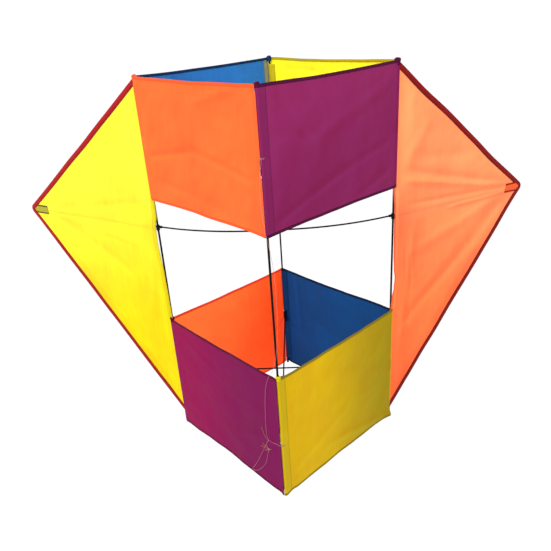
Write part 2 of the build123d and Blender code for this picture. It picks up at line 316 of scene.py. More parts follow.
def cloth_material(name, colour, hem, strip=None, glow=0.32, far=None, way=(), fold_shade_strength=1.2):
    """Thin taffeta with a plain weave, faint streaks and stitches, with painted light and shade from
    its folds and painted shade where it is doubled.

    The colours are the cloth's, its hem's and its corner strip's, the last two darker as painted
    shade of doubled cloth, and one it turns to along way, a painted gradient of light and shade.
    glow is the share of light that comes through it, and the last argument how strongly the
    painted light and shade of its folds show.
    """
    n = Nodes(name)
    cut = n.uv("cut")
    across, along, _ = n.split(cut)
    from_hem, from_strip, _ = n.split(n.uv("edge"))
    cloudy = n.noise(cut, 9.0)
    streaks = n.noise(cut, 14.0, 4.0, 0.6, (9, 0.7, 1))
    fine = n.noise(cut, 900.0, 2.0)
    # Random tone of the cloth from its noises, then the painted light and shade of its folds; red
    # changes less, so painted shade deepens the colour rather than greying it
    tone_and_fold_shade = n.ramp(cloudy, 0.25, 0.75, 0.93, 1.03)
    tone_and_fold_shade = n.maths("ADD", tone_and_fold_shade, n.ramp(streaks, 0.3, 0.7, -0.03, 0.02))
    tone_and_fold_shade = n.maths("ADD", tone_and_fold_shade, n.ramp(fine, 0.3, 0.7, -0.02, 0.02))
    # Painted light and shade of the folds, from their slope towards the key light
    tone_and_fold_shade = n.maths("ADD", tone_and_fold_shade, n.maths("MULTIPLY", n.split(n.uv("painted_fold_shade"))[0], fold_shade_strength))
    warm = n.maths("ADD", n.maths("MULTIPLY", tone_and_fold_shade, 0.3), 0.7)
    tone_and_shade_tint = n.add("ShaderNodeCombineColor", Red=warm, Green=tone_and_fold_shade, Blue=tone_and_fold_shade)
    # Painted light and shade: the cloth turns to the far colour along way
    if far:
        sideways, upward, begin, finish = way
        run = n.maths("MULTIPLY", across, sideways)
        run = n.maths("ADD", run, n.maths("MULTIPLY", along, upward))
        colour = n.mix(n.ramp(run, begin, finish), colour, far)
    base = n.mix(1.0, colour, tone_and_shade_tint.outputs[0], "MULTIPLY")
    # Painted shade of doubled cloth: the corner strip and hems take their darker colours, with a
    # faint darker line along the strip's inner edge and a darker line along the cloth's very edge
    base = n.mix(n.ramp(from_strip, HEM - 0.4 * MM, HEM, 0.6, 0.0), base, strip or hem)
    border = n.maths("ABSOLUTE", n.maths("SUBTRACT", from_strip, HEM))
    base = n.mix(n.ramp(border, 0.3 * MM, 1.2 * MM, 0.2, 0), base, hem)
    base = n.mix(n.ramp(from_hem, HEM - 0.4 * MM, HEM, 0.9, 0.0), base, hem)
    base = n.mix(n.ramp(from_hem, 0.6 * MM, 1.8 * MM, 0.5, 0.0), base, darker(hem, 0.6))
    seam = HEM - 1.5 * MM
    stitch = n.stitches(from_hem, across, seam)
    stitch = n.maths("MAXIMUM", stitch, n.stitches(from_strip, along, seam))
    base = n.mix(n.maths("MULTIPLY", stitch, 0.7), base, darker(hem, 0.45))
    weave = n.maths("ADD", n.wave(across, WEAVE), n.wave(along, WEAVE))
    normal = n.bump(n.noise(cut, 55.0, 4.0, 0.55), 0.35, 1.6 * MM)
    normal = n.bump(weave, 0.12, 0.06 * MM, normal)
    normal = n.bump(stitch, 0.8, 0.25 * MM, normal)
    rough = n.ramp(cloudy, 0.2, 0.8, 0.5, 0.66)
    surface = n.add("ShaderNodeBsdfPrincipled", Base_Color=base, Roughness=rough, Normal=normal,
                    Specular_IOR_Level=0.09)
    through = n.add("ShaderNodeBsdfTranslucent", Color=base, Normal=normal)
    both = n.add("ShaderNodeMixShader", Fac=glow)
    n.feed(both.inputs[1], surface.outputs[0])
    n.feed(both.inputs[2], through.outputs[0])
    return n.finish(both)


def solid_material(name, colour, rough, grain, stretch=(1, 1, 1), metal=0.0, bump=0.2):
    """A plain finish with fine grain and uneven wear, for rods, vinyl, rubber and tube."""
    n = Nodes(name)
    where = n.add("ShaderNodeTexCoord").outputs["Object"]
    grains = n.noise(where, grain, 4.0, 0.6, stretch)
    wear = n.ramp(n.noise(where, 24.0), 0.3, 0.7, rough - 0.07, rough + 0.09)
    lighter = (*(min(1.0, c * 1.6 + 0.004) for c in colour[:3]), 1.0)
    base = n.mix(n.ramp(grains, 0.35, 0.8, 0.0, 0.3), colour, lighter)
    normal = n.bump(grains, bump, 0.25 * MM)
    return n.finish(n.add("ShaderNodeBsdfPrincipled", Base_Color=base, Roughness=wear,
                          Normal=normal, Metallic=metal, Specular_IOR_Level=0.06))


def tape_material(name, colour):
    """Folded ribbed tape with a stitched line along its inner edge, painted darker in shade along the
    start of its run.
    """
    n = Nodes(name)
    cut = n.uv("cut")
    along, across, _ = n.split(cut)
    ribs = n.wave(along, 1.1 * MM)
    stitch = n.stitches(across, along, BINDING - 2.6 * MM)
    cloudy = n.noise(cut, 30.0)
    base = n.mix(n.ramp(cloudy, 0.3, 0.75, 0.0, 0.5), colour, darker(colour, 0.7))
    # Painted shade: darker along the tape's first 0.55 m, up most of the wing's lower edge
    base = n.mix(n.ramp(along, 0.55, 0.75, 0.25, 0.0), base, darker(colour, 0.4))
    base = n.mix(n.ramp(ribs, -1.0, 1.0, 0.0, 0.16), base, darker(colour, 0.5))
    base = n.mix(n.ramp(across, 8.0 * MM, 11.5 * MM, 0.0, 0.6), base, darker(colour, 0.45))
    base = n.mix(n.maths("MULTIPLY", stitch, 0.5), base, darker(colour, 0.35))
    normal = n.bump(stitch, 0.8, -0.25 * MM, n.bump(ribs, 0.35, 0.12 * MM))
    rough = n.ramp(cloudy, 0.2, 0.8, 0.6, 0.78)
    return n.finish(n.add("ShaderNodeBsdfPrincipled", Base_Color=base, Roughness=rough,
                          Normal=normal, Specular_IOR_Level=0.15))


def line_material(name, colour):
    """Braided line: two crossing spiral ribs."""
    n = Nodes(name)
    where = n.add("ShaderNodeTexCoord").outputs["Object"]
    across, _, up = n.split(where)
    slant = n.maths("MULTIPLY", across, 0.8)
    braid = n.maths("MULTIPLY", n.wave(n.maths("ADD", up, slant), 1.0 * MM),
                    n.wave(n.maths("SUBTRACT", up, slant), 1.0 * MM))
    rough = n.ramp(n.noise(where, 260.0), 0.3, 0.7, 0.6, 0.8)
    base = n.mix(n.ramp(braid, -0.6, 0.6, 0.0, 0.35), colour, darker(colour, 0.7))
    normal = n.bump(braid, 0.5, 0.12 * MM)
    return n.finish(n.add("ShaderNodeBsdfPrincipled", Base_Color=base, Roughness=rough,
                          Normal=normal, Sheen_Weight=0.25))


# --- Meshes ---


def smoothstep(x, low, high):
    t = min(1.0, max(0.0, (x - low) / (high - low)))
    return t * t * (3 - 2 * t)


def steps(low, high, size):
    """Evenly spaced values from low to high, about size apart."""
    count = max(1, round((high - low) / size))
    return [low + (high - low) * k / count for k in range(count + 1)]


def curve_through(pairs):
    """A smooth function of one value that passes through the pairs given in millimetres."""
    def value(z):
        z_mm = z / MM
        for (z0, v0), (z1, v1) in zip(pairs, pairs[1:]):
            if z_mm <= z1:
                return MM * (v0 + (v1 - v0) * smoothstep(z_mm, z0, z1))
        return MM * pairs[-1][1]
    return value


def solidify(piece, thickness, offset):
    """Give a sheet its thickness: half to each side with no offset, all behind it with -1."""
    solid = piece.modifiers.new("thickness", "SOLIDIFY")
    solid.thickness = thickness
    solid.offset = offset
    return solid


def thicken(piece, weights):
    """Give a sheet its thickness, doubled where the weights say."""
    group = piece.vertex_groups.new(name="doubled")
    for index, weight in enumerate(weights):
        if weight > 0:
            group.add([index], weight, "REPLACE")
    solid = solidify(piece, DOUBLED, 0.0)
    solid.vertex_group = "doubled"
    solid.thickness_vertex_group = PLAIN / DOUBLED


def new_piece(name, points, faces, material, uvs, doubled=None):
    """A smooth mesh object; uvs has a pair, and doubled a weight, for each point."""
    mesh = bpy.data.meshes.new(name)
    used = sorted({index for face in faces for index in face})
    place = {old: new for new, old in enumerate(used)}
    mesh.from_pydata([tuple(points[i]) for i in used], [], [[place[i] for i in f] for f in faces])
    for layer_name, pairs in uvs.items():
        layer = mesh.uv_layers.new(name=layer_name)
        for loop in mesh.loops:
            layer.data[loop.index].uv = pairs[used[loop.vertex_index]]
    mesh.materials.append(material)
    mesh.polygons.foreach_set("use_smooth", [True] * len(mesh.polygons))
    piece = add_object(name, mesh)
    if doubled:
        thicken(piece, [doubled[i] for i in used])
    return piece


def hemmed_rows(low, high, inner):
    """Heights of a hemmed cloth's rows, closer at its hems; inner is how far in its third row is."""
    rows = [low, low + 0.8 * MM] + steps(low + inner, low + HEM - BESIDE, HEM_GRID)
    rows += steps(low + HEM + BESIDE, high - HEM - BESIDE, GRID)
    return rows + steps(high - HEM + BESIDE, high - inner, HEM_GRID) + [high - 0.8 * MM, high]


def grid_faces(columns, rows, skip=lambda i, j: False):
    """Quads of a grid whose points run down each column in turn."""
    faces = []
    for i in range(columns - 1):
        for j in range(rows - 1):
            if not skip(i, j):
                a = i * rows + j
                faces.append((a, a + rows, a + rows + 1, a + 1))
    return faces


def tube_faces(rings, count):
    """Quads between closed rings of points."""
    faces = []
    for i in range(rings - 1):
        for k in range(count):
            a, b = i * count + k, i * count + (k + 1) % count
            faces.append((a, b, b + count, a + count))
    return faces


def fold_shade_slope(height, u, z):
    """How steeply a cloth's height rises towards the key light's side, held to a small range: it is
    painted into the cloth's colour as the light and shade of its folds.
    """
    step = 3 * MM
    rise = height(u - step, z + step) - height(u + step, z - step)
    return min(0.12, max(-0.12, rise / (2 * math.sqrt(2) * step)))


def wrinkle(u, z, seed, size):
    return noise.noise(Vector((u / size, z / size, seed * 7.31)))


def unevenness(u, z, seed, waves):
    """The sum of a cloth's waves, each with its height and length in mm and its stretch upward."""
    heights = [tall * MM * wrinkle(u, z * stretch, seed + 20 * k, long * MM)
               for k, (tall, long, stretch) in enumerate(waves)]
    return sum(heights)


def ridge(u, z, crease):
    """Height of one soft crease from (u0, z0) to (u1, z1), which fades at both ends."""
    u0, z0, u1, z1, width, height = crease
    length = math.hypot(u1 - u0, z1 - z0)
    t = ((u - u0) * (u1 - u0) + (z - z0) * (z1 - z0)) / length**2
    off = abs((u - u0) * (z1 - z0) - (z - z0) * (u1 - u0)) / length
    fade = smoothstep(t, -0.12, 0.2) * (1 - smoothstep(t, 0.75, 1.15))
    return height * fade * math.exp(-((off / width) ** 2))


def near_hardware(corner, z):
    """From 0 to 1 where a fitting or an end cap stands under the cloth on a longeron."""
    reach = FITTING_HALF + 6 * MM
    found = [1 - smoothstep(abs(z - height), FITTING_HALF, reach) for height in FITTINGS[corner]]
    from_end = min(z, KITE_TOP - z)
    return max([*found, 1 - smoothstep(from_end, END_ZONE, END_ZONE + 6 * MM)])


def sleeve_open(corner, z):
    """True where a sleeve is cut away for a fitting or an end cap."""
    at_fitting = any(abs(z - height) < FITTING_HALF + 4 * MM for height in FITTINGS[corner])
    return at_fitting or min(z, KITE_TOP - z) < END_ZONE


# --- The cells ---

PANEL_WAVES = [(3.4, 150, 0.7), (1.7, 60, 1), (0.5, 24, 1)]
SAG = 3.0 * MM  # how far a panel's top and bottom edges are drawn in at their middles
# The lower front right panel's bottom edge stands out and up at the right longeron, and is raised
# a little beside the front one
CORNER_FLARE = 6 * MM
CORNER_LIFT = 1 * MM
CORNER_NICK = 2.5 * MM
# Creases of each panel: from and to, as shares of its width and height, then width, height in mm
PANEL_CREASES = {
    "upper_front_left": [
        (0.03, 0.38, 0.5, 0.5, 8, 1.6), (0.45, 0.52, 0.99, 0.36, 8, 1.5),
        (0.1, 0.2, 0.7, 0.1, 12, 1.0), (0.5, 0.85, 0.9, 0.98, 10, -1.0),
    ],
    "upper_front_right": [
        (0.02, 0.06, 0.55, 0.3, 9, 1.8), (0.35, 0.24, 0.98, 0.42, 12, 1.8),
        (0.0, 0.7, 0.42, 0.58, 14, 1.4), (0.3, 0.55, 0.95, 0.85, 16, -1.8),
        (0.08, 0.95, 0.35, 0.5, 12, 1.6), (0.6, 0.02, 0.98, 0.2, 10, 1.4),
    ],
    "upper_back_left": [(0.75, 0.95, 0.7, 0.3, 9, 1.6), (0.9, 0.95, 0.86, 0.2, 8, -1.4)],
    "upper_back_right": [(0.3, 0.85, 0.9, 0.92, 10, 1.4), (0.1, 0.6, 0.7, 0.75, 12, -1.2)],
    "lower_front_left": [(0.05, 0.9, 0.5, 0.7, 12, 1.4), (0.6, 0.3, 0.98, 0.5, 12, 1.2)],
    "lower_front_right": [
        (1.0, 0.02, 0.35, 0.18, 13, 3.0), (0.02, 0.15, 0.6, 0.42, 14, 1.2),
        (0.3, 0.9, 0.95, 0.55, 16, -1.4),
    ],
    "lower_back_left": [
        (0.34, 1.0, 0.34, 0.45, 6, 1.2), (0.05, 0.45, 0.3, 0.2, 12, 1.8),
        (0.4, 0.2, 0.9, 0.6, 14, 1.2),
    ],
    "lower_back_right": [(0.1, 0.4, 0.7, 0.6, 14, 1.2), (0.86, 0.98, 0.84, 0.4, 8, 1.2)],
}
# Corner strips: the longeron whose corner it is beside, and the share of the height it covers
STRIPS = {
    "upper_front_right": [("front", 0.0, 1.0, STRIP), ("right", 0.0, 1.0, 4 * MM)],
    "lower_front_right": [("front", 0.0, 1.0, STRIP)],
    "lower_front_left": [("front", 0.0, 1.0, 2.5 * MM)],
    "upper_back_left": [("back", 0.0, 1.0, STRIP)],
    "lower_back_right": [("back", 0.0, 1.0, STRIP)],
    "lower_back_left": [("back", 0.0, 0.5, STRIP)],
}


def panel_height(panel, u, z):
    """How far a panel's middle surface stands out from the line between its longerons."""
    low, high, seed = panel.low, panel.high, panel.seed
    from_corner = min(u, SIDE_LENGTH - u)
    corner = panel.start if u < SIDE_LENGTH / 2 else panel.end
    out = OFFSET + BULGE * math.exp(-((from_corner / (8 * MM)) ** 2)) * near_hardware(corner, z)
    if panel.side.endswith("left") and corner in ("front", "back"):
        out += LAP * (1 - smoothstep(from_corner, 2 * MM, 12 * MM))
    wave = unevenness(u, z, seed, PANEL_WAVES)
    for u0, z0, u1, z1, width, height in PANEL_CREASES[panel.name]:
        wave += ridge(u, z, (u0 * SIDE_LENGTH, low + z0 * (high - low), u1 * SIDE_LENGTH,
                             low + z1 * (high - low), width * MM, height * MM))
    if panel.name == "lower_front_right":
        flare = smoothstep(u, SIDE_LENGTH - 40 * MM, SIDE_LENGTH - 1 * MM)
        out += CORNER_FLARE * flare * (1 - smoothstep(z, low + 3 * MM, low + 34 * MM))
    return out + wave * smoothstep(from_corner, 8 * MM, 45 * MM)


def panel_point(panel, u, z):
    """A point of a panel's middle surface, u along its side, with its sagging top and bottom."""
    share = panel.share(z)
    bow = math.sin(math.pi * u / SIDE_LENGTH)
    sag = SAG * bow * (smoothstep(share, 0.75, 1.0) - 1 + smoothstep(share, 0.0, 0.25))
    sag += 0.8 * MM * wrinkle(u, 0.0, panel.seed + 60, 90 * MM) * smoothstep(bow, 0.0, 0.3)
    place = LONGERONS[panel.start] + panel.along * u + panel.outward * panel_height(panel, u, z)
    if panel.name == "lower_front_right":
        near_edge = 1 - smoothstep(z, panel.low, panel.low + 60 * MM)
        sag -= CORNER_LIFT * smoothstep(u, SIDE_LENGTH - 45 * MM, SIDE_LENGTH - 6 * MM) * near_edge
        sag -= CORNER_NICK * math.exp(-(((u - 22 * MM) / (9 * MM)) ** 2)) * near_edge
    return Vector((place.x, place.y, z - sag))


def wrap_point(panel, turn, z):
    """A point of the sleeve round a front or back longeron, turn degrees on from its inner side."""
    hardware = near_hardware(panel.corner, z)
    tight = SLEEVE_RADIUS + FITTING_SWELL * hardware
    wide = OFFSET + BULGE * hardware
    radius = tight + (wide - tight) * smoothstep(turn, 110, 180)
    angle = math.radians(turn)
    place = LONGERONS[panel.corner] - panel.inward * (math.sin(angle) * radius)
    place -= panel.outward * (math.cos(angle) * radius)
    return Vector((place.x, place.y, z))


WRAP_TURNS = (-18, 10, 40, 65, 90, 115, 140, 160)
OPEN_TURNS = 4  # how many of those turns are cut away at a fitting


def panel_columns(panel):
    """Where a panel's columns are along its side, closer at its ends and beside its strips."""
    first = BACK_GAP if panel.side == "back_right" else 0.0
    last = SIDE_LENGTH - (BACK_GAP if panel.side == "back_left" else 0.0)
    us = [first, 4 * MM] + steps(8 * MM, SIDE_LENGTH - 8 * MM, GRID) + [SIDE_LENGTH - 4 * MM, last]
    for corner, _, _, width in panel.strips:
        line = panel.beyond(corner, width)
        us = [u for u in us if abs(u - line) > 1 * MM]
        us = sorted(us + [line - BESIDE, line + BESIDE])
    return us


def beside_strips(panel, u, z):
    """How far a point is from the inner line of its nearest corner strip, less than HEM inside it."""
    covering = [row for row in panel.strips if row[1] <= panel.share(z) <= row[2]]
    return min([1.0] + [panel.beyond(corner, u) - width + HEM for corner, _, _, width in covering])


def sleeve_faces(corner, zs, columns, shift, joined):
    """Faces of the sleeve's columns, open at the hardware, and of their join to the panel."""
    rows = len(zs)

    def skip(i, j):
        return i < OPEN_TURNS + 2 and (sleeve_open(corner, zs[j]) or sleeve_open(corner, zs[j + 1]))

    faces = [tuple(index + shift for index in face) for face in grid_faces(columns, rows, skip)]
    for j in range(rows - 1):
        a = shift + (columns - 1) * rows + j
        b = joined * rows + j
        faces.append((a, b, b + 1, a + 1))
    return faces


def cell_cloth(name, material):
    """One side of a cell; the right-hand sides carry the sleeve round the front or back longeron."""
    panel = Panel(name)
    low, high = panel.low, panel.high
    us, zs = panel_columns(panel), hemmed_rows(low, high, 2.6 * MM)
    cut = [(u, z) for u in us for z in zs]
    points = [panel_point(panel, u, z) for u, z in cut]
    edge = [(min(z - low, high - z), beside_strips(panel, u, z)) for u, z in cut]
    doubled = [1.0 if from_hem < HEM else 0.0 for from_hem, _ in edge]
    # Painted light and shade of the folds, stored for the cloth's colour
    painted_fold_shade = [(fold_shade_slope(lambda a, b: panel_height(panel, a, b), u, z), 0.0) for u, z in cut]
    faces = grid_faces(len(us), len(zs))
    if panel.side.endswith("right"):
        more, more_cut = sleeve_columns(panel, zs)
        joined = 0 if panel.corner == panel.start else len(us) - 1
        faces += sleeve_faces(panel.corner, zs, len(more) // len(zs), len(points), joined)
        points += more
        cut += more_cut
        edge += [(min(z - low, high - z), 2 * MM) for _, z in more_cut]
        doubled += [0.0] * len(more)
        painted_fold_shade += [(0.0, 0.0)] * len(more)
    uvs = {"cut": cut, "edge": edge, "painted_fold_shade": painted_fold_shade}
    piece = new_piece(f"{name}_cloth", points, faces, material, uvs, doubled)
    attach(piece, f"{panel.side}_side")
    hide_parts(f"{name}_panel")


def sleeve_columns(panel, zs):
    """The inner layer of a corner strip and the turn round the longeron, column by column."""
    seam = LONGERONS[panel.corner] + panel.inward * STRIP + panel.outward * (OFFSET - 0.7 * MM)
    seams = [Vector((seam.x, seam.y, z)) for z in zs]
    halfway = [(spot + wrap_point(panel, WRAP_TURNS[0], spot.z)) / 2 for spot in seams]
    points = seams + halfway + [wrap_point(panel, turn, z) for turn in WRAP_TURNS for z in zs]
    cut = [(-k * 3 * MM, z) for k in range(2 + len(WRAP_TURNS)) for z in zs]
    return points, cut


# --- The wings ---

# Each wing's inner edge across the gap: heights, and how far outboard of the longeron, in mm
WING_EDGES = {
    "left": curve_through([(358, -4), (420, -3), (500, -1), (545, 3), (585, 6), (625, 4),
                           (660, -4), (700, -5)]),
    "right": curve_through([(358, -3), (395, 0), (425, 7), (450, 10), (480, 5), (520, 2.5),
                            (590, 1.5), (650, 0), (672, -2), (700, -5)]),
}
WING_WAVES = [(3.0, 170, 0.8), (1.2, 70, 1), (0.35, 24, 1)]
WING_SLACK = 3.5 * MM  # how far the cloth hangs behind its plane away from the rod
# The doubled edge across the gap is painted darker, as its shade
WING_HEM = {"left": 16 * MM, "right": 5 * MM}  # the darker doubled edge across the gap
# Creases of each wing in its plane, in mm: from and to (outboard, up from the rod), width, height
WING_CREASES = {
    "left": [
        (430, -2, 120, -4, 4, 2.6), (400, 6, 20, 62, 11, 2.2), (395, -6, 60, -62, 10, -2.0),
        (390, -10, 120, -150, 16, 2.4), (380, 16, 60, 190, 22, -1.8), (10, -80, 90, -300, 18, 2.4),
        (30, -150, 30, -420, 14, -2.2),
    ],
    "right": [
        (432, -6, 190, -14, 4.5, -4.6), (430, 4, 60, 20, 7, 2.4), (405, 6, 5, 90, 9, -2.6),
        (395, 10, 10, 118, 12, 2.4), (400, -8, 60, -120, 16, -1.8), (380, -20, 150, -240, 22, 2.4),
        (30, -20, 60, -330, 16, 2.2), (70, -40, 30, -420, 12, -2.0), (60, 140, 250, 120, 16, 1.6),
        (110, 230, 40, 120, 18, -1.4), (20, -340, 240, -150, 15, 2.6), (34, -50, 40, -210, 7, -1.3),
        (58, -60, 66, -230, 7, 1.3),
    ],
}
# Patches of painted shade on a wing, beside the longeron and near its lower end: how much, then in
# mm out, up, width and height
WING_PAINTED_SHADE = {"left": [], "right": [(0.17, 22, -55, 60, 105), (0.16, 30, -560, 60, 150)]}


def wing_place(side, x, front, z):
    """A point of a wing's own plane: x outboard of the longeron, front of the plane, and z."""
    sign = -1 if side == "left" else 1
    across = HALF_DIAGONAL + x * math.cos(SWEEP) + front * math.sin(SWEEP)
    return Vector((sign * across, x * math.sin(SWEEP) - front * math.cos(SWEEP), z))


def wing_height(side, x, z):
    """How far the wing's cloth stands in front of the plane through the longeron."""
    seed = 3 if side == "left" else 8
    up = z - WING_ROD_Z
    wave = unevenness(x, z, seed, WING_WAVES)
    for crease in WING_CREASES[side]:
        wave += ridge(x / MM, up / MM, crease) * MM
    reach = outer_reach(side, z, 0.0)
    free = smoothstep(x, 14 * MM, 60 * MM) * smoothstep(reach - x, 0, 50 * MM)
    near_rod = math.exp(-((up / (14 * MM)) ** 2))
    wave = wave * free * (1 - 0.6 * near_rod)
    front = wave - WING_SLACK * (1 - math.exp(-((up / (70 * MM)) ** 2))) * free
    in_gap = smoothstep(z, GAP_LOW - 5 * MM, GAP_LOW + 5 * MM)
    in_gap *= 1 - smoothstep(z, GAP_HIGH - 5 * MM, GAP_HIGH + 5 * MM)
    over_rod = 3.9 * MM * (1 - smoothstep(x, 3 * MM, 16 * MM)) * in_gap
    return max(front, -2.6 * MM - abs(up) * 0.3) + over_rod


def wing_edge(side, z):
    """Where the wing's inner edge is, outboard of the longeron."""
    if GAP_LOW <= z <= GAP_HIGH:
        return WING_EDGES[side](z)
    return WING_SEAM[side] - 2 * MM


def outer_reach(side, z, inset):
    """How far outboard a wing reaches at a height, inset from its two straight edges."""
    end = WING_HIGH if z >= WING_ROD_Z else WING_LOW[side]
    run = abs(end - WING_ROD_Z)
    slope = math.hypot(run, WING_REACH[side])
    return abs(end - z) / run * WING_REACH[side] - inset * slope / run


def wing_painted_shade(side, x, z):
    """Painted light and shade of the wing's cloth: lighter or darker from its folds, and darker in
    its patches of painted shade.
    """
    painted_shade = fold_shade_slope(lambda a, b: wing_height(side, a, b), x, z)
    for depth, out, up, wide, tall in WING_PAINTED_SHADE[side]:
        off = ((x / MM - out) / wide) ** 2 + (((z - WING_ROD_Z) / MM - up) / tall) ** 2
        painted_shade -= depth * math.exp(-off)
    return painted_shade


def wing_cloth(side, material):
    """The wing's single sheet, from the seam on the side longeron to inside the bound edges."""
    zs = steps(WING_LOW[side] + 18 * MM, GAP_LOW - 0.5 * MM, GRID)
    zs += steps(GAP_LOW + 0.5 * MM, WING_ROD_Z, GRID)
    zs += steps(WING_ROD_Z, GAP_HIGH - 0.5 * MM, GRID)[1:]
    zs += steps(GAP_HIGH + 0.5 * MM, WING_HIGH - 16 * MM, GRID)
    shares = steps(0.0, 1.0, GRID / WING_REACH[side])
    points, cut, edge, doubled = [], [], [], []
    for share in shares:
        for z in zs:
            inner, outer = wing_edge(side, z), outer_reach(side, z, 5 * MM)
            x = inner + share * (max(outer, inner + 0.5 * MM) - inner)
            points.append(wing_place(side, x, wing_height(side, x, z), z))
            cut.append((x, z))
            in_gap = GAP_LOW < z < GAP_HIGH
            edge.append((1.0, x - inner - WING_HEM[side] + HEM if in_gap else 1.0))
            doubled.append(1.0 if in_gap and x - inner < 16 * MM else 0.0)
    # Painted light and shade of the folds and the shaded patches, stored for the cloth's colour
    painted_fold_shade = [(wing_painted_shade(side, x, z), 0.0) for x, z in cut]
    faces = grid_faces(len(shares), len(zs))
    uvs = {"cut": cut, "edge": edge, "painted_fold_shade": painted_fold_shade}
    piece = new_piece(f"{side}_wing", points, faces, material, uvs, doubled)
    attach(piece, f"{side}_side")
    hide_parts(f"{side}_wing_cloth")


def straight_run(begin, finish, first, last):
    """Points along a straight edge, from first past its begin to last short of its finish."""
    run = (finish - begin).length
    along = (finish - begin) / run
    inward = Vector((-along.y, along.x))
    return [(begin + along * s, inward) for s in steps(first, run - last, TAPE_GRID)]


def outline_points(side):
    """The wing's bound edge from its lower to its upper end: place in the plane and way inward."""
    low = Vector((0, WING_LOW[side]))
    tip = Vector((WING_REACH[side], WING_ROD_Z))
    high = Vector((0, WING_HIGH))
    down, up = (low - tip).normalized(), (high - tip).normalized()
    half = down.angle(up) / 2
    back = TIP_ROUND / math.tan(half)
    centre = tip + (down + up).normalized() * (TIP_ROUND / math.sin(half))
    spots = straight_run(low, tip + down * back, TAPE_GRID, 0)
    normal = spots[0][1]
    turn = math.pi - 2 * half
    for k in range(1, 12):
        angle = turn * k / 12
        way = Vector((normal.x * math.cos(angle) - normal.y * math.sin(angle),
                      normal.x * math.sin(angle) + normal.y * math.cos(angle)))
        spots.append((centre - way * TIP_ROUND, way))
    return spots + straight_run(tip + up * back, high, 0, TAPE_GRID)


# The folded tape's front half in section: how far in from the wing's edge, and forward, in mm
TAPE_FRONT = [(13.0, 0.55), (12.2, 0.75), (11.2, 0.72), (10.6, 0.52), (10.1, 0.55), (9.3, 0.8),
              (5.5, 0.95), (1.6, 0.9), (0.4, 0.55)]
TAPE_SECTION = [*TAPE_FRONT, (0.0, 0.0), *((depth, -front) for depth, front in reversed(TAPE_FRONT))]


def wing_binding(side, material):
    """The tape folded round the wing's two free edges, as one strip round the tip."""
    seed = 5 if side == "left" else 11
    spots = outline_points(side)
    points, cut = [], []
    length = 0.0
    for k, (spot, way) in enumerate(spots):
        if k:
            length += (spot - spots[k - 1][0]).length
        lean = 0.06 * wrinkle(length, 0, seed, 80 * MM)
        shift = TAPE_WAVE[side] * wrinkle(length, 0, seed + 3, 110 * MM)
        for depth, front in TAPE_SECTION:
            flat = spot + way * (depth * MM + shift)
            out = wing_height(side, max(flat.x, 0), flat.y) + (front + lean * (depth - 5)) * MM
            points.append(wing_place(side, flat.x, out, max(flat.y, 2 * MM)))
            cut.append((length, depth * MM))
    faces = grid_faces(len(spots), len(TAPE_SECTION))
    piece = new_piece(f"{side}_edge_tape", points, faces, material, {"cut": cut})
    solidify(piece, TAPE_THICKNESS, 0.0)
    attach(piece, f"{side}_side")
    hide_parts(f"{side}_wing_binding")


def side_sleeve(level, side, face, material):
    """Half of the sleeve on a side longeron, from its seam on the wing round to the inside."""
    low, high = CELLS[level]
    if (level, side, face) == ("lower", "right", "front"):
        low += 9 * MM
    zs = hemmed_rows(low, high, 3 * MM)
    sign = 1 if face == "front" else -1
    seam = WING_SEAM[side]
    turns = (82, 96, 110, 125, 140, 155, 170, 184 if face == "front" else 176)
    points, cut, edge, doubled = [], [], [], []
    columns = [seam, seam - 1.2 * MM, seam - 3 * MM, seam * 0.35]
    for k in range(len(columns) + len(turns)):
        for z in zs:
            radius = SLEEVE_RADIUS + FITTING_SWELL * near_hardware(side, z)
            angle = math.radians(turns[max(0, k - len(columns))])
            x, front = radius * math.cos(angle), radius * math.sin(angle)
            if k < len(columns):
                share = (seam - columns[k]) / (seam - x)
                x = columns[k]
                front = 0.6 * MM + (front - 0.6 * MM) * smoothstep(share, 0.05, 1.0) * share
                front += 0.25 * MM * wrinkle(x, z, 31, 18 * MM) * share
            from_hem = min(z - low, high - z)
            points.append(wing_place(side, x, sign * front, z))
            cut.append((x, z))
            edge.append((from_hem, 1.0))
            doubled.append(1.0 if from_hem < HEM and k < len(columns) else 0.0)
    closed = len(columns) + (3 if face == "front" else 6)

    def skip(i, j):
        return i >= closed and (sleeve_open(side, zs[j]) or sleeve_open(side, zs[j + 1]))

    faces = grid_faces(len(columns) + len(turns), len(zs), skip)
    name = f"{level}_{side}_sleeve_{face}"
    piece = new_piece(name, points, faces, material, {"cut": cut, "edge": edge}, doubled)
    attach(piece, f"{side}_side")


def edge_room(side, x, above, inset):
    """How far above or below the rod a point may be, to keep inset from the wing's edge."""
    run = abs((WING_HIGH if above else WING_LOW[side]) - WING_ROD_Z)
    reach = WING_REACH[side]
    return max(0.5 * MM, ((reach - x) * run - inset * math.hypot(run, reach)) / reach)


